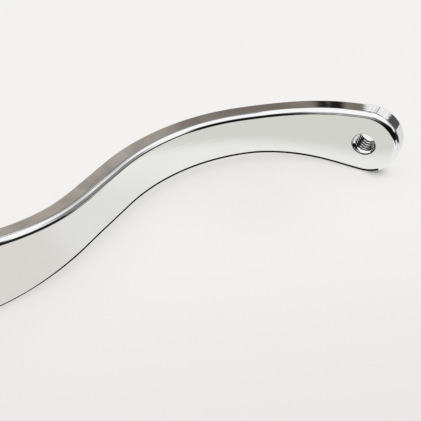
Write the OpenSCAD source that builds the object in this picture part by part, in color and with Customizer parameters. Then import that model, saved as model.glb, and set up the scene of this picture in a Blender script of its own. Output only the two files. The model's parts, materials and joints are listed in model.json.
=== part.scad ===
// Brake lever guard: one flat bar, rounded over along its edges and bent twice in plan.
// Sizes are in millimetres.
// The origin is the centre of the threaded hole, halfway through the bar.
// +Y runs along the hole, and the seat for the handlebar end faces -Y.
// +Z is up across the bar's height, and the bar leaves the hole towards -X.
// The bar is laid out flat first, as an outline of stations along its length.
// It is then wrapped along the bends, so every section stays square to the path.

/* [Bar] */
// Thickness of the bar at its mount end and through its first bend
bar_t = 8; // [6:0.5:12]
// Thickness of the bar at its blade
blade_t = 6.4; // [5.4:0.2:10]
// Distance along the bar from the hole to where it starts to thin
thin_start = 96; // [20:1:110]
// Distance along the bar from the hole to where it has the blade's thickness
thin_end = 160; // [130:1:180]
// Radius of the rounding along all its edges
edge_r = 1.8; // [0.6:0.1:2.6]

/* [Mount end] */
// Radius of the half-round mount end
end_r = 11.5; // [9:0.5:16]
// Length of the flat pad from the hole to the first bend
pad_l = 7.5; // [6:0.5:20]
// Angle at which the edges draw in behind the mount end
taper_angle = 3.5; // [2:0.5:9]

/* [Threaded hole] */
// Nominal diameter of the thread
thread_d = 7.94; // [5:0.02:8]
// Pitch of the thread
thread_pitch = 1.41; // [0.7:0.01:1.5]
// Diameter of the bevel at each mouth of the hole
mouth_d = 8.3; // [8:0.1:14]
// Depth of the bevel at each mouth
mouth_depth = 0.9; // [0.4:0.1:2]

/* [Bends] */
// Radius of the first bend, at mid-thickness
bend_r = 57; // [30:1:90]
// Angle of the first bend
bend_angle = 90; // [40:1:110]
// Length of the straight arm between the bends
arm_l = 21; // [5:1:60]
// Radius of the return bend, at mid-thickness
return_r = 53; // [30:1:90]
// Angle of the return bend
return_angle = 90; // [30:1:110]
// Length of the straight blade after the return bend
blade_l = 20; // [12:1:80]

/* [Heights] */
// Height of the bar along its waist
waist_h = 16.4; // [12:0.1:22]
// Distance along the bar from the hole to where the waist starts
waist_start = 45; // [30:1:60]
// Distance along the bar from the hole to where the waist ends
waist_end = 110; // [80:1:130]
// Distance along the bar from the hole to the blade's full height
blade_start = 165; // [140:1:180]
// Height of the blade's upper edge above the hole's axis
blade_rise = 14; // [9:0.5:20]
// Radius of the two rounded corners at the blade's tip
tip_r = 9; // [3:0.5:10]

/* [Hidden] */

// Distance between the stations along the bar
station_step = 2.8;
// Steps round a quarter of the mount end, round a tip corner and round an edge
end_steps = 18;
tip_steps = 8;
edge_steps = 5;
// Small overlap that lets a cutter pass clear through a face
clear_cut = 1;
hole_fn = 96;

// Ratio of the core hole's diameter loss to the pitch in a 60 degree thread
core_ratio = 1.0825;
core_d = thread_d - core_ratio * thread_pitch;

waist_half = waist_h / 2;
// The blade's lower edge lies level with the mount end's, so the bar stands on both
foot_drop = end_r;

function arc_length(radius, angle) = radius * angle * PI / 180;

// Straights have a zero curvature, and a bend to the other side a negative one
SEGMENTS = [
    [pad_l, 0],
    [arc_length(bend_r, bend_angle), 1 / bend_r],
    [arm_l, 0],
    [arc_length(return_r, return_angle), -1 / return_r],
    [blade_l, 0],
];
function lengths_to(i) = i == 0 ? 0 : lengths_to(i - 1) + SEGMENTS[i - 1][0];
bar_end = lengths_to(len(SEGMENTS));
tip_start = bar_end - tip_r;

// A pose on the path is [x, y, heading], where heading 0 runs towards -X
function advance(pose, length, curvature) =
    let (
        turn = length * curvature * 180 / PI,
        chord = abs(turn) < 0.0001 ? length : 2 * sin(turn / 2) / curvature,
        aim = pose[2] + turn / 2
    )
    [pose[0] - chord * cos(aim), pose[1] - chord * sin(aim), pose[2] + turn];
function pose_at(s, i = 0, pose = [0, 0, 0]) =
    let (length = SEGMENTS[i][0], last = i == len(SEGMENTS) - 1)
    s <= length || last
        ? advance(pose, s, SEGMENTS[i][1])
        : pose_at(s - length, i + 1, advance(pose, length, SEGMENTS[i][1]));

// Smooth curve between two stations, with the given value and slope at each
function blend(s, s0, h0, slope0, s1, h1, slope1) =
    let (span = s1 - s0, t = (s - s0) / span)
    (2 * t ^ 3 - 3 * t ^ 2 + 1) * h0 + (t ^ 3 - 2 * t ^ 2 + t) * span * slope0
    + (3 * t ^ 2 - 2 * t ^ 3) * h1 + (t ^ 3 - t ^ 2) * span * slope1;

// Distance of one edge above or below the hole's axis, behind the mount end
taper_start = end_r * sin(taper_angle);
function edge_height(s, blade_half) =
    s < waist_start
        ? blend(s, taper_start, end_r * cos(taper_angle), -tan(taper_angle), waist_start, waist_half, 0)
        : s < waist_end
            ? waist_half
            : s < blade_start ? blend(s, waist_end, waist_half, 0, blade_start, blade_half, 0) : blade_half;

// Stations [s, height] of one edge, from the mount end's nose to the tip
body_count = ceil((tip_start - pad_l) / station_step);
function edge_points(blade_half) =
    [
        for (i = [0:end_steps])
            let (a = 90 * i / end_steps)
            [-end_r * cos(a), end_r * sin(a)],
        for (s = [taper_start, pad_l]) [s, edge_height(s, blade_half)],
        for (i = [1:body_count])
            let (s = pad_l + (tip_start - pad_l) * i / body_count)
            [s, edge_height(s, blade_half)],
        for (i = [1:tip_steps])
            let (a = 90 * i / tip_steps)
            [tip_start + tip_r * sin(a), edge_height(tip_start, blade_half) - tip_r * (1 - cos(a))],
    ];

// The whole flat outline, closed: along the upper edge, and back along the lower one
upper = edge_points(blade_rise);
lower = edge_points(foot_drop);
last_station = len(upper) - 1;
OUTLINE = [for (p = upper) p, for (i = [last_station:-1:1]) [lower[i][0], -lower[i][1]]];
outline_count = len(OUTLINE);
// The last station that lies on the flat pad
pad_station = end_steps + 2;

// Outward direction of the outline at a point, square to the line past it
function outward(i) =
    let (
        before = OUTLINE[(i + outline_count - 1) % outline_count],
        after = OUTLINE[(i + 1) % outline_count],
        along = (after - before) / norm(after - before)
    )
    [-along[1], along[0]];
OUTWARD = [for (i = [0:outline_count - 1]) outward(i)];

// Half of the bar's thickness at s along it
function half_t(s) =
    s < thin_start
        ? bar_t / 2
        : s < thin_end ? blend(s, thin_start, bar_t / 2, 0, thin_end, blade_t / 2, 0) : blade_t / 2;

// Rings [inset from the outline, drop from the face, side], from the front face to the back
front_rings = [
    for (i = [0:edge_steps])
        let (a = 90 * i / edge_steps)
        [edge_r * (1 - sin(a)), edge_r * (1 - cos(a)), -1]
];
back_rings = [for (i = [edge_steps:-1:0]) [front_rings[i][0], front_rings[i][1], 1]];
RINGS = concat(front_rings, back_rings);

// Place of a point that lies at s along the bar, at a height and a depth
function wrapped(s, height, depth) =
    let (pose = pose_at(s))
    [pose[0] - depth * sin(pose[2]), pose[1] + depth * cos(pose[2]), height];
function ring_points(ring) =
    [
        for (i = [0:outline_count - 1])
            let (p = OUTLINE[i] - ring[0] * OUTWARD[i])
            wrapped(p[0], p[1], ring[2] * (half_t(p[0]) - ring[1]))
    ];

// Faces of one long side: the flat pad as one face, then strips across the bar
function upper_at(i) = i;
function lower_at(i) = (outline_count - i) % outline_count;
function side_faces() =
    [
        [for (i = [0:pad_station]) upper_at(i), for (i = [pad_station:-1:1]) lower_at(i)],
        for (i = [pad_station:last_station - 1]) each [
            [upper_at(i), upper_at(i + 1), lower_at(i + 1)],
            [upper_at(i), lower_at(i + 1), lower_at(i)]
        ],
    ];
function shifted(faces, start) = [for (f = faces) [for (v = f) v + start]];
function flipped(faces) = [for (f = faces) [for (i = [len(f) - 1:-1:0]) f[i]]];
function rim_faces(k) =
    [
        for (i = [0:outline_count - 1])
            let (
                a = k * outline_count + i,
                b = k * outline_count + (i + 1) % outline_count
            )
            each [[a, a + outline_count, b + outline_count], [a, b + outline_count, b]]
    ];

module bent_bar() {
    points = [for (ring = RINGS) each ring_points(ring)];
    back = (len(RINGS) - 1) * outline_count;
    faces = concat(
        side_faces(),
        [for (k = [0:len(RINGS) - 2]) each rim_faces(k)],
        shifted(flipped(side_faces()), back)
    );
    polyhedron(points, faces);
}

// Bevel of one mouth, drawn on past the face at the same angle
module mouth() {
    growth = (mouth_d - core_d) / 2 / mouth_depth;
    translate([0, 0, bar_t / 2 - mouth_depth])
        cylinder(h = mouth_depth + clear_cut, d1 = core_d,
                 d2 = mouth_d + 2 * growth * clear_cut, $fn = hole_fn);
}

// Core hole of the thread with a bevel at both mouths, along Y
module threaded_hole() {
    rotate([90, 0, 0]) {
        cylinder(h = bar_t + 2 * clear_cut, d = core_d, center = true, $fn = hole_fn);
        mouth();
        mirror([0, 0, 1]) mouth();
    }
}

module lever_guard() {
    color("silver") difference() {
        bent_bar();
        threaded_hole();
    }
}

lever_guard();
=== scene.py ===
"""Brake lever guard: a polished bar on a pale table, at the photograph's view.

The bar is made the way the real one is: a flat blank is cut to its outline and
given its thickness, its edges are rounded over, its hole is tapped and bevelled,
and the blank is then bent twice along its length.
"""

from __future__ import annotations

import json
import logging
import math
from dataclasses import dataclass, field
from enum import Enum

import bmesh
import bpy
from mathutils import Matrix, Vector


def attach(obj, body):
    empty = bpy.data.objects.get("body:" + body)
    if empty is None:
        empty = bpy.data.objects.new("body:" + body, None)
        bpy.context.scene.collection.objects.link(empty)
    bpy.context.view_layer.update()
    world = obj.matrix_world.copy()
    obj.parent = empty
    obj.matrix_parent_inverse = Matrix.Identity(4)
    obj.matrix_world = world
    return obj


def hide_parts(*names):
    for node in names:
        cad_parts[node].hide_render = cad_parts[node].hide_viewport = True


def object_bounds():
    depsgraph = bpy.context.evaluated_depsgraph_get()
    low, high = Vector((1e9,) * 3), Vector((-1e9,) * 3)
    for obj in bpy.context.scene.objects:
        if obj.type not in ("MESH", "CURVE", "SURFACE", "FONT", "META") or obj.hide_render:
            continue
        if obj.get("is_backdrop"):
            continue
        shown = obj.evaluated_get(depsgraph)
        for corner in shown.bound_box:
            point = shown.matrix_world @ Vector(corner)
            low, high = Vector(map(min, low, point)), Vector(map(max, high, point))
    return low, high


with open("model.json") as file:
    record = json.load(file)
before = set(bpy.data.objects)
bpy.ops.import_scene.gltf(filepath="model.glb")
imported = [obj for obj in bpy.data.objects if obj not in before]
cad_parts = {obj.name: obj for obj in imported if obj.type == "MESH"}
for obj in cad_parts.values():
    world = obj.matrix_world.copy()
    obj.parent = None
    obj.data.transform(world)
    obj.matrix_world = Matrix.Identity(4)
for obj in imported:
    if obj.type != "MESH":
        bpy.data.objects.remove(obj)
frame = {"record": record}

MM = 0.001
NODE = "lever_guard"
SLOT = "bright_metal"
ROOT = "root"
GRAIN = "grain"
LOG = logging.getLogger("lever_guard")

# Points closer than TOUCHING are one point, and lengths closer than TINY are equal
TOUCHING = 1e-7
TINY = 1e-9
DULL_ROUGHNESS = 0.9


class Side(Enum):
    """The two long edges of the bar as it stands."""

    UPPER = 1
    LOWER = -1


class Value:
    """A shader value that Python's operators can work on."""

    def __init__(self, sheet: "Sheet", socket: bpy.types.NodeSocket) -> None:
        """Wraps an output socket.

        Args:
            sheet: The node sheet that the socket belongs to.
            socket: The output socket to wrap.
        """
        self.sheet = sheet
        self.socket = socket

    def _math(self, operation: str, first: object, second: object) -> "Value":
        """Adds a Math node.

        Args:
            operation: The Math node's operation.
            first: Its first value or number.
            second: Its second value or number.

        Returns:
            The node's result.
        """
        node = self.sheet.node("ShaderNodeMath", {"operation": operation}, {0: first, 1: second})
        return Value(self.sheet, node.outputs[0])

    def __add__(self, other: object) -> "Value":
        """Sum."""
        return self._math("ADD", self, other)

    def __radd__(self, other: object) -> "Value":
        """Sum with the number first."""
        return self._math("ADD", other, self)

    def __sub__(self, other: object) -> "Value":
        """Difference."""
        return self._math("SUBTRACT", self, other)

    def __rsub__(self, other: object) -> "Value":
        """Difference with the number first."""
        return self._math("SUBTRACT", other, self)

    def __mul__(self, other: object) -> "Value":
        """Product."""
        return self._math("MULTIPLY", self, other)

    def atan2(self, other: "Value") -> "Value":
        """Angle of the point (other, self), in radians."""
        return self._math("ARCTAN2", self, other)

    def arcsine(self) -> "Value":
        """Arcsine, in radians."""
        return self._math("ARCSINE", self, 0.0)

    def size(self) -> "Value":
        """Absolute value."""
        return self._math("ABSOLUTE", self, 0.0)

    def root(self) -> "Value":
        """Square root."""
        return self._math("SQRT", self, 0.0)

    def ramp(self, low: float, high: float) -> "Value":
        """Smooth step between two values.

        Args:
            low: Where the step starts.
            high: Where it ends, above or below low.

        Returns:
            0 before low and 1 past high.
        """
        rising = high > low
        node = self.sheet.node(
            "ShaderNodeMapRange",
            {"interpolation_type": "SMOOTHSTEP", "clamp": True},
            {
                "Value": self,
                "From Min": min(low, high),
                "From Max": max(low, high),
                "To Min": 0.0 if rising else 1.0,
                "To Max": 1.0 if rising else 0.0,
            },
        )
        return Value(self.sheet, node.outputs["Result"])


class Sheet:
    """The node sheet of one material or of the world."""

    def __init__(self, owner: bpy.types.ID) -> None:
        """Empties the owner's node tree.

        Args:
            owner: A material or a world.
        """
        owner.use_nodes = True
        self.tree = owner.node_tree
        self.tree.nodes.clear()

    def node(self, kind: str, settings: dict | None = None, inputs: dict | None = None) -> bpy.types.Node:
        """Adds one node.

        Args:
            kind: The node's type.
            settings: Its own settings, set before its sockets.
            inputs: Numbers, colours or links by socket name or place.

        Returns:
            The node.
        """
        made = self.tree.nodes.new(kind)
        for name, setting in (settings or {}).items():
            setattr(made, name, setting)
        for key, given in (inputs or {}).items():
            source = given.socket if isinstance(given, Value) else given
            if isinstance(source, bpy.types.NodeSocket):
                self.tree.links.new(source, made.inputs[key])
            else:
                made.inputs[key].default_value = source
        return made

    def value(self, kind: str, output: str, settings: dict | None = None,
              inputs: dict | None = None) -> Value:
        """Adds one node and wraps one of its outputs.

        Args:
            kind: The node's type.
            output: The output's name.
            settings: The node's own settings.
            inputs: Its socket values or links.

        Returns:
            The wrapped output.
        """
        return Value(self, self.node(kind, settings, inputs).outputs[output])

    def blend(self, amount: object, low: object, high: object) -> Value:
        """Mixes two colours.

        Args:
            amount: 0 for the first colour and 1 for the second.
            low: The first colour.
            high: The second colour.

        Returns:
            The mixed colour.
        """
        node = self.node("ShaderNodeMix", {"data_type": "RGBA"}, {0: amount, 6: low, 7: high})
        return Value(self, node.outputs[2])

    def tint(self, amount: object, colour: object, filter_colour: object) -> Value:
        """Multiplies a colour by another.

        Args:
            amount: 0 for the colour as it is and 1 for the full product.
            colour: The colour to change.
            filter_colour: The colour that it is multiplied by.

        Returns:
            The changed colour.
        """
        node = self.node("ShaderNodeMix", {"data_type": "RGBA", "blend_type": "MULTIPLY"},
                         {0: amount, 6: colour, 7: filter_colour})
        return Value(self, node.outputs[2])


def grey(level: float) -> tuple[float, float, float, float]:
    """A neutral colour of that linear level."""
    return (level, level, level, 1.0)


def from_screen(red: int, green: int, blue: int) -> tuple[float, float, float, float]:
    """Turns a screen colour into the linear colour that renders as it.

    Args:
        red: Red, 0 to 255.
        green: Green, 0 to 255.
        blue: Blue, 0 to 255.

    Returns:
        The linear colour with a full alpha.
    """
    def linear(level: int) -> float:
        """One channel's linear level."""
        share = level / 255
        return share / 12.92 if share <= 0.04045 else ((share + 0.055) / 1.055) ** 2.4

    return (linear(red), linear(green), linear(blue), 1.0)


@dataclass(frozen=True)
class BrightMetal:
    """Mirror finish with the faint waves, grain and haze of hand polishing.

    The thread's roots are rougher metal and are painted near black as shade, and a painted dark
    line runs along the mouth's lower rim.
    """

    tint: tuple[float, float, float, float]
    roughness: float = 0.02
    haze: float = 0.03
    haze_scale: float = 90.0
    haze_detail: float = 4.0
    haze_from: tuple[float, float] = (0.45, 0.8)
    wave_height: float = 0.02 * MM
    wave_scale: float = 28.0
    wave_detail: float = 1.0
    grain_height: float = 0.013 * MM
    grain_scale: tuple[float, float, float] = (60.0, 1400.0, 1400.0)
    grain_detail: float = 2.0
    # Painted shade colour of the thread's roots and of the dark line on the mouth's rim
    groove_shade: tuple[float, float, float, float] = (0.025, 0.024, 0.026, 1.0)
    groove_radii: tuple[float, float] = (3.28 * MM, 3.55 * MM)
    groove_roughness: float = 0.35
    groove_reach: tuple[float, float] = (4.3 * MM, 4.2 * MM)
    groove_start: tuple[float, float] = (-2.55 * MM, -2.35 * MM)
    # Where the painted dark line runs round the mouth's lower rim
    rim_radius: float = 4.04 * MM
    rim_width: float = 0.32 * MM
    rim_soft: float = 0.05 * MM
    rim_fade: tuple[float, float] = (2.5 * MM, -1.5 * MM)
    rim_front: tuple[float, float] = (-3.5 * MM, -3.6 * MM)

    def groove_shade_mask(self, sheet: Sheet, place: Value) -> Value:
        """Mask of the painted shade in the thread's roots and of the painted dark line on the mouth's lower
        rim.

        Args:
            sheet: The finish's node sheet.
            place: The place on the bar.

        Returns:
            1 at the roots of the thread and along the rim, and 0 elsewhere.
        """
        split = sheet.node("ShaderNodeSeparateXYZ", None, {0: place})
        x, y, z = [Value(sheet, split.outputs[axis]) for axis in range(3)]
        radius = (x * x + z * z).root()
        roots = radius.ramp(*self.groove_radii) * y.ramp(*self.groove_start)
        half_rim = self.rim_width / 2
        rim = (radius - self.rim_radius).size().ramp(half_rim + self.rim_soft, half_rim)
        painted_rim_line = rim * z.ramp(*self.rim_fade) * y.ramp(*self.rim_front)
        return roots * radius.ramp(*self.groove_reach) + painted_rim_line

    def material(self) -> bpy.types.Material:
        """Builds the finish.

        Returns:
            The material.
        """
        made = bpy.data.materials.new(SLOT)
        sheet = Sheet(made)
        place = sheet.value("ShaderNodeTexCoord", "Object")
        haze = sheet.value("ShaderNodeTexNoise", "Fac", None,
                           {"Vector": place, "Scale": self.haze_scale, "Detail": self.haze_detail})
        waves = sheet.value("ShaderNodeTexNoise", "Fac", None,
                            {"Vector": place, "Scale": self.wave_scale, "Detail": self.wave_detail})
        along = sheet.value("ShaderNodeAttribute", "Vector", {"attribute_name": GRAIN})
        stretched = sheet.value("ShaderNodeVectorMath", "Vector", {"operation": "MULTIPLY"},
                                {0: along, 1: self.grain_scale})
        lines = sheet.value("ShaderNodeTexNoise", "Fac", None,
                            {"Vector": stretched, "Scale": 1.0, "Detail": self.grain_detail})
        grain = sheet.node("ShaderNodeBump", None,
                           {"Strength": 1.0, "Distance": self.grain_height, "Height": lines})
        bump = sheet.node("ShaderNodeBump", None, {
            "Strength": 1.0, "Distance": self.wave_height, "Height": waves,
            "Normal": grain.outputs["Normal"],
        })
        # Painted shade in the thread's roots and a painted dark line on the mouth's rim; the roots are also
        # rougher
        groove_shade = self.groove_shade_mask(sheet, place)
        polished = self.roughness + haze.ramp(*self.haze_from) * self.haze
        shader = sheet.node("ShaderNodeBsdfPrincipled", None, {
            "Base Color": sheet.blend(groove_shade, self.tint, self.groove_shade),
            "Metallic": 1.0,
            "Roughness": polished + groove_shade * self.groove_roughness,
            "Normal": bump.outputs["Normal"],
        })
        sheet.node("ShaderNodeOutputMaterial", None, {"Surface": shader.outputs[0]})
        return made


@dataclass(frozen=True)
class BarSizes:
    """Driving sizes of the bar, as its construction has them."""

    thickness: float = 8 * MM
    blade_thickness: float = 6.4 * MM
    thin_start: float = 96 * MM
    thin_end: float = 160 * MM
    edge_radius: float = 1.8 * MM
    end_radius: float = 11.5 * MM
    pad: float = 7.5 * MM
    taper: float = math.radians(3.5)
    bend_radius: float = 57 * MM
    bend_angle: float = math.radians(90)
    arm: float = 21 * MM
    return_radius: float = 53 * MM
    return_angle: float = math.radians(90)
    blade: float = 20 * MM
    waist_height: float = 16.4 * MM
    waist_start: float = 45 * MM
    waist_end: float = 110 * MM
    blade_start: float = 165 * MM
    blade_rise: float = 14 * MM
    tip_radius: float = 9 * MM


def smooth_between(s: float, low: tuple[float, float, float], high: tuple[float, float, float]) -> float:
    """Smooth cubic between two stations.

    Args:
        s: Where the value is wanted.
        low: Station, value and slope at the start.
        high: Station, value and slope at the end.

    Returns:
        The value at s.
    """
    span = high[0] - low[0]
    t = (s - low[0]) / span
    return ((2 * t**3 - 3 * t**2 + 1) * low[1] + (t**3 - 2 * t**2 + t) * span * low[2]
            + (3 * t**2 - 2 * t**3) * high[1] + (t**3 - t**2) * span * high[2])


@dataclass(frozen=True)
class BendPath:
    """The path that the middle of the bar follows in plan."""

    sizes: BarSizes

    def runs(self) -> list[tuple[float, float]]:
        """Length and curvature of each straight and bend, from the hole on."""
        size = self.sizes
        return [
            (size.pad, 0.0),
            (size.bend_radius * size.bend_angle, 1 / size.bend_radius),
            (size.arm, 0.0),
            (size.return_radius * size.return_angle, -1 / size.return_radius),
            (size.blade, 0.0),
        ]

    def length(self) -> float:
        """Length of the path from the hole to the tip."""
        return sum(run[0] for run in self.runs())

    def pose(self, s: float) -> tuple[float, float, float]:
        """Place and heading on the path.

        Args:
            s: Distance along the path from the hole, negative past the mount end.

        Returns:
            X, Y and the heading, where heading 0 runs towards -X.
        """
        x, y, heading = 0.0, 0.0, 0.0
        runs = self.runs()
        for index, (length, curvature) in enumerate(runs):
            step = s if index == len(runs) - 1 else min(s, length)
            turn = step * curvature
            chord = 2 * math.sin(turn / 2) / curvature if abs(turn) > TINY else step
            x -= chord * math.cos(heading + turn / 2)
            y -= chord * math.sin(heading + turn / 2)
            heading += turn
            s -= step
            if s <= 0:
                break
        return x, y, heading

    def thinning(self, s: float) -> float:
        """How far each face lies inside the mount end's full thickness.

        Args:
            s: Distance along the path from the hole.

        Returns:
            The depth lost on each side.
        """
        size = self.sizes
        lost = (size.thickness - size.blade_thickness) / 2
        if s <= size.thin_start:
            return 0.0
        if s >= size.thin_end:
            return lost
        return smooth_between(s, (size.thin_start, 0.0, 0.0), (size.thin_end, lost, 0.0))

    def wrap(self, flat: Vector) -> Vector:
        """Moves a point of the flat blank onto the bent bar.

        Args:
            flat: X back along the blank, Y through it, Z up it.

        Returns:
            The point's place on the bar.
        """
        x, y, heading = self.pose(-flat.x)
        depth = flat.y - math.copysign(self.thinning(-flat.x), flat.y)
        return Vector((x - depth * math.sin(heading), y + depth * math.cos(heading), flat.z))


@dataclass(frozen=True)
class Blank:
    """The flat blank: its outline and the steps that it is drawn in."""

    sizes: BarSizes
    path: BendPath
    nose_steps: int = 40
    tip_steps: int = 20
    station: float = 1.0 * MM
    edge_segments: int = 12
    rim_angle: float = math.radians(60)

    def height(self, s: float, side: Side) -> float:
        """Distance of an edge from the level of the hole's axis.

        Args:
            s: Distance along the blank from the hole.
            side: Which edge.

        Returns:
            The distance, without a sign.
        """
        size = self.sizes
        waist = size.waist_height / 2
        full = size.blade_rise if side is Side.UPPER else size.end_radius
        start = self.taper_start()
        if s < size.waist_start:
            top = size.end_radius * math.cos(size.taper)
            return smooth_between(s, (start, top, -math.tan(size.taper)), (size.waist_start, waist, 0.0))
        if s < size.waist_end:
            return waist
        if s < size.blade_start:
            return smooth_between(s, (size.waist_end, waist, 0.0), (size.blade_start, full, 0.0))
        return full

    def taper_start(self) -> float:
        """Where the round end gives way to the taper."""
        return self.sizes.end_radius * math.sin(self.sizes.taper)

    def columns(self) -> list[tuple[float, float, float]]:
        """Lists the stations along the blank, from the nose to the tip.

        Returns:
            Each station's distance from the hole, upper height and lower height.
        """
        size = self.sizes
        made = []
        for step in range(self.nose_steps + 1):
            angle = math.pi / 2 * step / self.nose_steps
            half = size.end_radius * math.sin(angle)
            made.append((-size.end_radius * math.cos(angle), half, half))
        tip = self.path.length() - size.tip_radius
        count = math.ceil((tip - size.pad) / self.station)
        stations = [self.taper_start(), (self.taper_start() + size.pad) / 2]
        stations += [size.pad + (tip - size.pad) * step / count for step in range(count + 1)]
        for s in stations:
            made.append((s, self.height(s, Side.UPPER), self.height(s, Side.LOWER)))
        for step in range(1, self.tip_steps + 1):
            angle = math.pi / 2 * step / self.tip_steps
            drop = size.tip_radius * (1 - math.cos(angle))
            made.append((
                tip + size.tip_radius * math.sin(angle),
                self.height(tip, Side.UPPER) - drop,
                self.height(tip, Side.LOWER) - drop,
            ))
        return made

    def sheet(self, mesh: bmesh.types.BMesh) -> None:
        """Draws the blank's front face as a ribbon of strips, with a plain pad and tip.

        Args:
            mesh: The empty mesh that takes the face.
        """
        front = -self.sizes.thickness / 2
        columns = self.columns()
        ends = [mesh.verts.new((-columns[0][0], front, 0.0)) for _ in range(2)]
        edge = mesh.edges.new(ends)
        pad, tip = [], []
        for s, upper, lower in columns[1:]:
            made = bmesh.ops.extrude_edge_only(mesh, edges=[edge])["geom"]
            top, bottom = [item for item in made if isinstance(item, bmesh.types.BMVert)]
            edge = next(item for item in made if isinstance(item, bmesh.types.BMEdge)
                        and set(item.verts) == {top, bottom})
            top.co = (-s, front, upper)
            bottom.co = (-s, front, -lower)
            strip = next(item for item in made if isinstance(item, bmesh.types.BMFace))
            if s <= self.sizes.pad + TINY:
                pad.append(strip)
            elif s > self.path.length() - self.sizes.tip_radius + TINY:
                tip.append(strip)
        bmesh.ops.dissolve_faces(mesh, faces=pad)
        bmesh.ops.dissolve_faces(mesh, faces=tip)
        bmesh.ops.remove_doubles(mesh, verts=mesh.verts[:], dist=TOUCHING)

    def solid(self) -> bmesh.types.BMesh:
        """Makes the flat blank with its thickness and its rounded edges.

        Returns:
            The blank's mesh.
        """
        mesh = bmesh.new()
        self.sheet(mesh)
        back = bmesh.ops.extrude_face_region(mesh, geom=mesh.faces[:])["geom"]
        bmesh.ops.translate(mesh, vec=(0, self.sizes.thickness, 0),
                            verts=[item for item in back if isinstance(item, bmesh.types.BMVert)])
        bmesh.ops.recalc_face_normals(mesh, faces=mesh.faces[:])
        rims = [edge for edge in mesh.edges if self.is_rim(edge)]
        bmesh.ops.bevel(mesh, geom=rims, offset=self.sizes.edge_radius, offset_type="OFFSET",
                        segments=self.edge_segments, profile=0.5, affect="EDGES",
                        clamp_overlap=False, material=-1, loop_slide=True)
        return mesh

    def is_rim(self, edge: bmesh.types.BMEdge) -> bool:
        """Whether an edge of the blank lies between a broad face and the wall round it."""
        return len(edge.link_faces) == 2 and edge.calc_face_angle(0.0) > self.rim_angle and (
            abs(edge.verts[0].co.y - edge.verts[1].co.y) < TINY)


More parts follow.
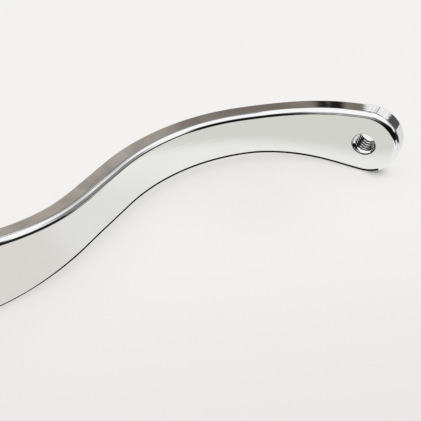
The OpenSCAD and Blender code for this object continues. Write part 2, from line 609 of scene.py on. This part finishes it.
@dataclass(frozen=True)
class TappedHole:
    """The threaded hole: a 60 degree thread, with a bevel at both mouths."""

    core_radius: float
    length: float
    thread_radius: float = 3.97 * MM
    pitch: float = 1.41 * MM
    phase: float = 0.35 * MM
    flank_angle: float = math.radians(30)
    root_share: float = 1 / 8
    spare_turns: int = 2
    mouth_radius: float = 4.15 * MM
    mouth_depth: float = 1.5 * MM
    mouth_round: float = 0.4 * MM
    far_mouth_radius: float = 3.35 * MM
    far_mouth_depth: float = 0.15 * MM
    far_mouth_round: float = 0.06 * MM
    round_steps: int = 8
    clear: float = 0.6 * MM
    steps: int = 96

    def tap(self) -> bmesh.types.BMesh:
        """Cutter for the threaded core, swept round the hole's axis as a helix.

        Returns:
            The closed cutter, with its crests at the core radius.
        """
        flank = (self.thread_radius - self.core_radius) * math.tan(self.flank_angle)
        root = self.pitch * self.root_share
        crest = self.pitch - 2 * flank - root
        turns = math.ceil((self.length + 2 * self.clear) / self.pitch) + self.spare_turns
        start = -turns * self.pitch / 2 - self.phase
        profile = [(self.core_radius, 0.0), (self.core_radius, crest),
                   (self.thread_radius, crest + flank), (self.thread_radius, crest + flank + root),
                   (self.core_radius, self.pitch)]
        mesh = bmesh.new()
        verts = [mesh.verts.new((0.0, start + along, radius)) for radius, along in profile]
        edges = [mesh.edges.new(pair) for pair in zip(verts, verts[1:])]
        bmesh.ops.spin(mesh, geom=[*verts, *edges], cent=(0, 0, 0), axis=(0, 1, 0),
                       dvec=(0, self.pitch / self.steps, 0), angle=2 * math.pi * turns,
                       steps=self.steps * turns, use_duplicate=False)
        bmesh.ops.remove_doubles(mesh, verts=mesh.verts[:], dist=TOUCHING)
        self.close_end(mesh, start + self.pitch / 2, -1)
        self.close_end(mesh, start + (turns + 0.5) * self.pitch, 1)
        bmesh.ops.recalc_face_normals(mesh, faces=mesh.faces[:])
        return mesh

    @staticmethod
    def close_end(mesh: bmesh.types.BMesh, place: float, towards: int) -> None:
        """Closes one end of the tap with a fan to its axis.

        Args:
            mesh: The tap, still open at that end.
            place: Where the fan's point goes along the axis.
            towards: -1 for the end at low Y and 1 for the other.
        """
        rim = [edge for edge in mesh.edges if edge.is_boundary and edge.verts[0].co.y * towards > 0]
        made = bmesh.ops.extrude_edge_only(mesh, edges=rim)["geom"]
        bmesh.ops.pointmerge(mesh, merge_co=(0.0, place, 0.0),
                             verts=[item for item in made if isinstance(item, bmesh.types.BMVert)])

    def mouth(self, towards: int, mouth_radius: float, mouth_depth: float,
              mouth_round: float) -> bmesh.types.BMesh:
        """Cutter for one mouth: a bevel that rounds over into the bar's face.

        Args:
            towards: -1 for the mouth on the handlebar's side and 1 for the other.
            mouth_radius: Radius at the bar's face.
            mouth_depth: Depth at which the bevel would reach the core, without its rounding.
            mouth_round: Radius of the rounding.

        Returns:
            The closed cutter, which widens out of the bar.
        """
        face = self.length / 2
        slope = math.atan2(mouth_radius - self.core_radius, mouth_depth)
        turn = math.pi / 2 - slope
        profile = [(0.0, face + self.clear), (mouth_radius, face + self.clear), (mouth_radius, face)]
        for step in range(1, self.round_steps + 1):
            angle = turn * step / self.round_steps
            profile.append((mouth_radius - mouth_round * math.sin(angle),
                            face - mouth_round * (1 - math.cos(angle))))
        inner = self.core_radius - self.clear
        radius, depth = profile[-1]
        end = depth - (radius - inner) / math.tan(slope)
        profile += [(inner, end), (0.0, end)]
        mesh = bmesh.new()
        verts = [mesh.verts.new((0.0, towards * depth, radius)) for radius, depth in profile]
        edges = [mesh.edges.new(pair) for pair in zip(verts, verts[1:])]
        bmesh.ops.spin(mesh, geom=[*verts, *edges], cent=(0, 0, 0), axis=(0, 1, 0), dvec=(0, 0, 0),
                       angle=2 * math.pi, steps=self.steps, use_merge=True, use_duplicate=False)
        bmesh.ops.remove_doubles(mesh, verts=mesh.verts[:], dist=TOUCHING)
        bmesh.ops.recalc_face_normals(mesh, faces=mesh.faces[:])
        return mesh

    def cutters(self) -> list[bmesh.types.BMesh]:
        """All the cutters, in the order that they are used."""
        return [
            self.tap(),
            self.mouth(-1, self.mouth_radius, self.mouth_depth, self.mouth_round),
            self.mouth(1, self.far_mouth_radius, self.far_mouth_depth, self.far_mouth_round),
        ]


def as_object(name: str, mesh: bmesh.types.BMesh) -> bpy.types.Object:
    """Puts a mesh into the scene.

    Args:
        name: The object's name.
        mesh: Its mesh, which is freed.

    Returns:
        The object, at the origin.
    """
    data = bpy.data.meshes.new(name)
    mesh.to_mesh(data)
    mesh.free()
    made = bpy.data.objects.new(name, data)
    bpy.context.scene.collection.objects.link(made)
    return made


def cut(stock: bpy.types.Object, cutters: list[bmesh.types.BMesh]) -> None:
    """Cuts shapes out of an object and keeps the result as its mesh.

    Args:
        stock: The object to cut.
        cutters: The shapes to take away, one after another.
    """
    for mesh in cutters:
        tool = as_object("cutter", mesh)
        step = stock.modifiers.new("cut", "BOOLEAN")
        step.operation = "DIFFERENCE"
        step.solver = "EXACT"
        step.object = tool
        view = bpy.context.evaluated_depsgraph_get()
        result = bpy.data.meshes.new_from_object(stock.evaluated_get(view), depsgraph=view)
        stock.modifiers.clear()
        old = stock.data
        stock.data = result
        bpy.data.meshes.remove(old)
        bpy.data.objects.remove(tool)


@dataclass
class LeverGuard:
    """The bent bar with its tapped hole."""

    sizes: BarSizes
    hole: TappedHole
    finish: BrightMetal
    sharp_from: float = math.radians(28)
    weld: float = 0.002 * MM

    def build(self) -> bpy.types.Object:
        """Makes the bar and stands it in for its node.

        Returns:
            The finished object.
        """
        path = BendPath(self.sizes)
        bar = as_object("lever_guard_bar", Blank(self.sizes, path).solid())
        cut(bar, self.hole.cutters())
        self.bend(bar, path)
        self.shade(bar)
        bar.data.materials.clear()
        bar.data.materials.append(self.finish.material())
        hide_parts(NODE)
        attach(bar, ROOT)
        return bar

    def bend(self, bar: bpy.types.Object, path: BendPath) -> None:
        """Closes the seams that the cuts left, notes the polishing grain and bends the bar.

        Args:
            bar: The flat bar with its hole.
            path: The path that it is bent along.
        """
        mesh = bmesh.new()
        mesh.from_mesh(bar.data)
        bmesh.ops.remove_doubles(mesh, verts=mesh.verts[:], dist=self.weld)
        bmesh.ops.dissolve_degenerate(mesh, edges=mesh.edges[:], dist=self.weld)
        grain = mesh.verts.layers.float_vector.new(GRAIN)
        for vert in mesh.verts:
            vert[grain] = vert.co
            vert.co = path.wrap(vert.co)
        mesh.to_mesh(bar.data)
        mesh.free()

    def shade(self, bar: bpy.types.Object) -> None:
        """Gives the bar smooth normals that keep its flats flat.

        Args:
            bar: The bent bar.
        """
        bar.data.shade_smooth()
        bar.data.set_sharp_from_angle(angle=self.sharp_from)
        even = bar.modifiers.new("even_normals", "WEIGHTED_NORMAL")
        even.mode = "FACE_AREA"
        even.weight = 50
        even.thresh = 0.01
        even.keep_sharp = True


@dataclass(frozen=True)
class PhotoCamera:
    """The camera that took the photograph, in the bar's frame."""

    place: tuple[float, float, float] = (41.6 * MM, -159.7 * MM, 101.3 * MM)
    azimuth: float = math.radians(34.45)
    elevation: float = math.radians(38.82)
    roll: float = math.radians(-6.62)
    focal_pixels: float = 540.0
    frame_pixels: float = 421.0
    sensor: float = 36.0
    near_clip: float = 5 * MM

    def build(self) -> bpy.types.Object:
        """Makes the scene's camera.

        Returns:
            The camera.
        """
        data = bpy.data.cameras.new("camera")
        data.sensor_width = self.sensor
        data.lens = self.focal_pixels / self.frame_pixels * self.sensor
        data.clip_start = self.near_clip
        made = bpy.data.objects.new("camera", data)
        level = Vector((math.cos(self.azimuth), math.sin(self.azimuth), 0))
        ahead = Vector((-math.sin(self.azimuth) * math.cos(self.elevation),
                        math.cos(self.azimuth) * math.cos(self.elevation),
                        -math.sin(self.elevation)))
        above = level.cross(ahead)
        right = level * math.cos(self.roll) + above * math.sin(self.roll)
        up = above * math.cos(self.roll) - level * math.sin(self.roll)
        turn = Matrix((right, up, -ahead)).transposed()
        made.matrix_world = Matrix.Translation(self.place) @ turn.to_4x4()
        bpy.context.scene.collection.objects.link(made)
        bpy.context.scene.camera = made
        return made


@dataclass(frozen=True)
class Patch:
    """A soft-edged part of the room that the metal mirrors, by direction.

    Angles are in degrees. Azimuth 0 is towards -Y, and 90 is towards +X.
    """

    azimuth: float
    elevation: float
    half_width: float
    half_height: float
    soft: float
    colour: tuple[float, float, float, float]

    def mask(self, sheet: Sheet, direction: list[Value]) -> Value:
        """Mask of the patch over the directions of the sky.

        Args:
            sheet: The world's node sheet.
            direction: X, Y and Z of the direction.

        Returns:
            1 inside the patch and 0 outside it.
        """
        x, y, z = direction
        turn = math.radians(self.azimuth)
        across = x * math.cos(turn) + y * math.sin(turn)
        along = x * math.sin(turn) - y * math.cos(turn)
        aside = across.atan2(along).size()
        raised = (z.arcsine() - math.radians(self.elevation)).size()
        soft = math.radians(self.soft)
        wide = math.radians(self.half_width)
        high = math.radians(self.half_height)
        return aside.ramp(wide + soft, wide - soft) * raised.ramp(high + soft, high - soft)


@dataclass(frozen=True)
class Spot:
    """A soft-edged round part of the table."""

    centre: tuple[float, float]
    radius: float
    soft: float

    def mask(self, x: Value, y: Value) -> Value:
        """Mask of the spot over the table.

        Args:
            x: X on the table.
            y: Y on the table.

        Returns:
            1 inside the spot and 0 outside it.
        """
        aside, ahead = x - self.centre[0], y - self.centre[1]
        return (aside * aside + ahead * ahead).root().ramp(self.radius + self.soft, self.radius - self.soft)


@dataclass(frozen=True)
class FootShade:
    """Dark strip of table along the bar's foot, which only the metal mirrors."""

    sizes: BarSizes
    floor_level: float
    start: float = -6 * MM
    full_until: float = 116 * MM
    thin_from: float = 142 * MM
    reach: float = 0.85
    thin_reach: float = 0.2
    lift: float = 0.05 * MM
    station: float = 2 * MM
    tone: tuple[float, float, float, float] = grey(0.01)

    def reach_at(self, s: float) -> float:
        """How far the strip stands out from the bar, for each metre of open height.

        Args:
            s: Distance along the bar from the hole.

        Returns:
            The ratio of the two.
        """
        if s <= self.full_until:
            return self.reach
        if s >= self.thin_from:
            return self.thin_reach
        return smooth_between(s, (self.full_until, self.reach, 0.0), (self.thin_from, self.thin_reach, 0.0))

    def build(self) -> bpy.types.Object:
        """Draws the strip under the whole bar, narrowing from the return bend on.

        Returns:
            The strip.
        """
        path = BendPath(self.sizes)
        blank = Blank(self.sizes, path)
        tip = path.length()
        count = math.ceil((tip - self.start) / self.station)
        mesh = bmesh.new()
        edge = None
        for step in range(count + 1):
            s = self.start + (tip - self.start) * step / count
            gap = -self.floor_level - blank.height(max(s, blank.taper_start()), Side.LOWER)
            half = self.sizes.thickness / 2 + self.reach_at(s) * (gap + self.sizes.edge_radius)
            places = [path.wrap(Vector((-s, side * half, self.floor_level + self.lift))) for side in (-1, 1)]
            if edge is None:
                edge = mesh.edges.new([mesh.verts.new(place) for place in places])
                continue
            made = bmesh.ops.extrude_edge_only(mesh, edges=[edge])["geom"]
            edge = next(item for item in made if isinstance(item, bmesh.types.BMEdge)
                        and not any(vert in edge.verts for vert in item.verts))
            for vert, place in zip(edge.verts, places):
                vert.co = place
        strip = as_object("foot_shade", mesh)
        for rays in ("camera", "diffuse", "transmission", "shadow"):
            setattr(strip, f"visible_{rays}", False)
        strip.data.materials.append(plain_paint("foot_shade", self.tone))
        strip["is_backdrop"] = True
        return strip


def dull_shader(sheet: Sheet, colour: object) -> bpy.types.Node:
    """Adds the shader of a dull paint.

    Args:
        sheet: The paint's node sheet.
        colour: Its colour, or the value that gives it.

    Returns:
        The shader's node.
    """
    return sheet.node("ShaderNodeBsdfPrincipled", None,
                      {"Base Color": colour, "Roughness": DULL_ROUGHNESS, "Specular IOR Level": 0.0})


def plain_paint(name: str, colour: tuple[float, float, float, float]) -> bpy.types.Material:
    """Builds a dull paint of one colour.

    Args:
        name: The paint's name.
        colour: Its colour.

    Returns:
        The material.
    """
    made = bpy.data.materials.new(name)
    sheet = Sheet(made)
    sheet.node("ShaderNodeOutputMaterial", None, {"Surface": dull_shader(sheet, colour).outputs[0]})
    return made


@dataclass
class Studio:
    """Pale table, soft light from above and the room that the metal mirrors.

    Colours named mirrored are painted reflections, what only the metal sees of the table; the
    table itself carries painted shade on its near side and a painted shadow under the arch.
    near_slope is a direction and end_centre a place, and each other pair is where a change starts and ends.
    """

    floor_level: float
    table: tuple[float, float, float, float] = from_screen(243, 242, 240)
    # Painted shade: the table is darker towards its near side
    shaded_near_table: tuple[float, float, float, float] = from_screen(232, 230, 228)
    near_slope: tuple[float, float] = (0.566, -0.825)
    near_from: tuple[float, float] = (10 * MM, 130 * MM)
    near_reach: tuple[float, float] = (360 * MM, 180 * MM)
    # Painted soft shadow on the table under the arch
    arch_shadow: Spot = Spot((-26 * MM, -34 * MM), 18 * MM, 18 * MM)
    arch_shadow_tone: tuple[float, float, float, float] = grey(0.955)
    shade: Spot = Spot((-8 * MM, -38 * MM), 24 * MM, 5 * MM)
    # Painted reflections: the table's tones as only the metal sees them
    mirrored_table: tuple[float, float, float, float] = (1.03, 1.04, 0.99, 1.0)
    mirrored_shade: tuple[float, float, float, float] = (0.826, 0.826, 0.772, 1.0)
    mirrored_middle: tuple[float, float, float, float] = (0.93, 0.93, 0.885, 1.0)
    middle_edge: tuple[float, float] = (-34 * MM, -54 * MM)
    mirrored_left: tuple[float, float, float, float] = (0.885, 0.848, 0.80, 1.0)
    left_edge: tuple[float, float] = (-74 * MM, -94 * MM)
    mirrored_back: tuple[float, float, float, float] = (0.86, 0.86, 0.84, 1.0)
    back_edge: tuple[float, float] = (0.0, 12 * MM)
    # Painted dark reflection of the table in front of the bar
    mirrored_dark: tuple[float, float, float, float] = grey(0.008)
    mirrored_dark_left: tuple[float, float, float, float] = grey(0.1)
    backdrop: tuple[float, float, float, float] = from_screen(243, 242, 240)
    ceiling: tuple[float, float, float, float] = grey(1.2)
    clutter_scale: float = 22.0
    clutter_detail: float = 2.0
    clutter_from: tuple[float, float] = (0.35, 0.65)
    clutter_tone: float = 0.72
    clutter_behind: tuple[float, float] = (0.0, 0.3)
    clutter_below: tuple[float, float] = (0.75, 0.65)
    shadow_share: float = 0.25
    contact: Spot = Spot((5 * MM, -2 * MM), 3 * MM, 3 * MM)
    contact_share: float = 0.7
    low_light: float = 0.25
    high_light: float = 1.25
    light_turn: tuple[float, float] = (math.radians(15), math.radians(45))
    table_reach: float = 600 * MM
    table_shift: float = -50 * MM
    table_steps: int = 96
    front_edge: tuple[float, float] = (-41 * MM, -48 * MM)
    arm_edge: tuple[float, float] = (-37 * MM, -29 * MM)
    end_centre: tuple[float, float] = (5 * MM, -22 * MM)
    end_edge: tuple[float, float] = (27 * MM, 31 * MM)
    end_side: tuple[float, float] = (-5 * MM, 5 * MM)
    end_slant: tuple[float, float] = (0.0, -15 * MM)
    left_turn: tuple[float, float] = (-22 * MM, -6 * MM)
    patches: list[Patch] = field(default_factory=list)

    def past_end(self, x: Value, y: Value) -> Value:
        """Mask of what lies past the table's end, as the metal sees it.

        Args:
            x: X on the table.
            y: Y on the table.

        Returns:
            1 past the end and 0 on the table.
        """
        aside, ahead = x - self.end_centre[0], y - self.end_centre[1]
        from_end = (aside * aside + ahead * ahead).root()
        return from_end.ramp(*self.end_edge) * x.ramp(*self.end_side) * (y - x).ramp(*self.end_slant)

    def floor(self) -> bpy.types.Object:
        """Makes the table top, which the metal sees painted dark in front of the bar, a painted reflection,
        and sees end past its mount end.

        Returns:
            The table top.
        """
        mesh = bmesh.new()
        bmesh.ops.create_circle(mesh, cap_ends=True, segments=self.table_steps, radius=self.table_reach)
        bmesh.ops.translate(mesh, verts=mesh.verts[:],
                            vec=(self.table_shift, self.table_shift, self.floor_level))
        top = as_object("table_top", mesh)
        paint = bpy.data.materials.new("table_paint")
        sheet = Sheet(paint)
        place = sheet.value("ShaderNodeTexCoord", "Object")
        split = sheet.node("ShaderNodeSeparateXYZ", None, {0: place})
        x, y = [Value(sheet, split.outputs[axis]) for axis in range(2)]
        rays = sheet.node("ShaderNodeLightPath")
        # Painted shade: the table darkens towards its near side, with a painted shadow under the arch
        nearness = (x * self.near_slope[0] + y * self.near_slope[1]).ramp(*self.near_from)
        nearness = nearness * (x * x + y * y).root().ramp(*self.near_reach)
        seen = sheet.blend(nearness, self.table, self.shaded_near_table)
        dimmed = sheet.tint(self.arch_shadow.mask(x, y), seen, self.arch_shadow_tone)
        # Painted reflections: tones of the table that only the metal sees, with a painted shade spot in them
        tone = sheet.blend(y.ramp(*self.middle_edge), self.mirrored_table, self.mirrored_middle)
        tone = sheet.blend(y.ramp(*self.left_edge), tone, self.mirrored_left)
        tone = sheet.blend(self.shade.mask(x, y), tone, self.mirrored_shade)
        tone = sheet.blend(y.ramp(*self.back_edge), tone, self.mirrored_back)
        # Painted dark reflection of the table in front of the bar, seen only by the metal
        dark = sheet.blend(x.ramp(*self.left_turn), self.mirrored_dark_left, self.mirrored_dark)
        front = y.ramp(*self.front_edge) * x.ramp(*self.arm_edge)
        mirrored = sheet.blend(front, tone, dark)
        mirroring = Value(sheet, rays.outputs["Is Glossy Ray"])
        shaded = dull_shader(sheet, dimmed)
        plain = sheet.node("ShaderNodeEmission", None, {"Color": sheet.blend(mirroring, dimmed, mirrored)})
        unshaded = 1 - self.shadow_share - self.contact.mask(x, y) * self.contact_share
        looking = Value(sheet, rays.outputs["Is Camera Ray"]) * unshaded
        mixed = sheet.node("ShaderNodeMixShader", None, {
            0: looking + mirroring, 1: shaded.outputs[0], 2: plain.outputs[0],
        })
        past_end = self.past_end(x, y) * (1 - front) * mirroring
        clear = sheet.node("ShaderNodeBsdfTransparent")
        cleared = sheet.node("ShaderNodeMixShader", None,
                             {0: past_end, 1: mixed.outputs[0], 2: clear.outputs[0]})
        sheet.node("ShaderNodeOutputMaterial", None, {"Surface": cleared.outputs[0]})
        top.data.materials.append(paint)
        top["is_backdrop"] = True
        return top

    def world(self) -> None:
        """Builds the world: plain for the camera, soft light from above, a room for the metal."""
        made = bpy.data.worlds.new("room")
        sheet = Sheet(made)
        place = sheet.value("ShaderNodeTexCoord", "Generated")
        split = sheet.node("ShaderNodeSeparateXYZ", None, {0: place})
        direction = [Value(sheet, split.outputs[axis]) for axis in range(3)]
        room: object = self.ceiling
        for patch in self.patches:
            room = sheet.blend(patch.mask(sheet, direction), room, patch.colour)
        clutter = sheet.value("ShaderNodeTexNoise", "Fac", None,
                              {"Vector": place, "Scale": self.clutter_scale, "Detail": self.clutter_detail})
        behind = direction[1].ramp(*self.clutter_behind) * direction[2].ramp(*self.clutter_below)
        room = sheet.tint(clutter.ramp(*self.clutter_from) * behind, room, grey(self.clutter_tone))
        above = direction[2].arcsine().ramp(*self.light_turn)
        soft_light = sheet.blend(above, grey(self.low_light), grey(self.high_light))
        rays = sheet.node("ShaderNodeLightPath")
        lit = Value(sheet, rays.outputs["Diffuse Depth"]).ramp(0.0, 1.0)
        looking = Value(sheet, rays.outputs["Is Glossy Ray"]) * (1 - lit)
        mirrored = sheet.blend(looking, soft_light, room)
        seen = sheet.blend(Value(sheet, rays.outputs["Is Camera Ray"]), mirrored, self.backdrop)
        light = sheet.node("ShaderNodeBackground", None, {"Color": seen, "Strength": 1.0})
        sheet.node("ShaderNodeOutputWorld", None, {"Surface": light.outputs[0]})
        bpy.context.scene.world = made

    def build(self) -> None:
        """Makes the table and the light."""
        top = self.floor()
        LOG.info("table: %d corners", len(top.data.vertices))
        self.world()
        LOG.info("room: %d patches", len(self.patches))
        bpy.context.scene.view_settings.view_transform = "Standard"


BROWN_WALL = (0.52, 0.47, 0.41, 1.0)
DARK_WALL = (0.29, 0.255, 0.215, 1.0)

# What the upper edge and its roundings mirror, where later patches lie over earlier ones
EDGE_ROOM = [
    Patch(178, 50, 27, 7, 4, grey(0.78)),
    Patch(178, 41, 23, 8, 2, grey(0.04)),
    Patch(133, 18, 20, 24, 6, grey(0.34)),
    Patch(148, 5, 8, 18, 2, grey(0.12)),
    Patch(-136.5, -20, 24, 62, 1.5, BROWN_WALL),
    Patch(-139, 40, 8, 6, 2, grey(0.2)),
    Patch(-149.5, -20, 8, 62, 2.5, DARK_WALL),
    Patch(-158.2, -20, 2.7, 62, 0.35, DARK_WALL),
    Patch(-158.5, 56, 10.5, 17, 2, grey(0.36)),
    Patch(-166, 34, 4.5, 3.0, 1.0, grey(0.18)),
    Patch(-155.6, 10, 1.9, 22, 0.7, grey(0.02)),
    Patch(-155.25, 25.1, 0.3, 0.4, 0.35, grey(0.16)),
    Patch(179, 31, 0.7, 6, 0.4, grey(0.3)),
]

# What the metal sees past the table's end, laid over the patches above
END_ROOM = [
    Patch(84, -15, 10, 27, 7, grey(0.2)),
    Patch(123, -10, 10, 12, 3, grey(0.02)),
    Patch(-15, -15, 20, 36, 14, grey(0.25)),
    Patch(-38, -10, 15, 30, 5, grey(0.01)),
    Patch(40, -15, 42, 52, 6, grey(0.25)),
    Patch(38, -15, 34, 34, 10, grey(0.003)),
    Patch(46, 12, 31, 18, 5, grey(0.006)),
    Patch(69, -27, 19, 20, 3, grey(1.0)),
    Patch(95, 0, 20, 15, 4, grey(0.02)),
]


def thread_mount() -> dict:
    """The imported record's threaded hole."""
    return next(mount for mount in frame["record"]["mounts"] if mount["kind"] == "threaded_hole")


def main() -> None:
    """Builds the bar, the camera and the studio."""
    logging.basicConfig(level=logging.INFO, format="%(name)s: %(message)s")
    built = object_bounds()
    sizes = BarSizes()
    mount = thread_mount()
    hole = TappedHole(core_radius=mount["dims"]["r_mm"] * MM, length=sizes.thickness)
    finish = BrightMetal(tint=(*frame["record"]["materials"][0]["base_color"][:3], 1.0))
    bar = LeverGuard(sizes, hole, finish).build()
    LOG.info("bar: %d faces", len(bar.data.polygons))
    camera = PhotoCamera().build()
    LOG.info("camera: lens %.1f", camera.data.lens)
    Studio(floor_level=built[0].z, patches=EDGE_ROOM + END_ROOM).build()
    strip = FootShade(sizes, built[0].z).build()
    LOG.info("foot strip: %d faces", len(strip.data.polygons))
    LOG.info("sizes noted")


if __name__ == "__main__":
    main()
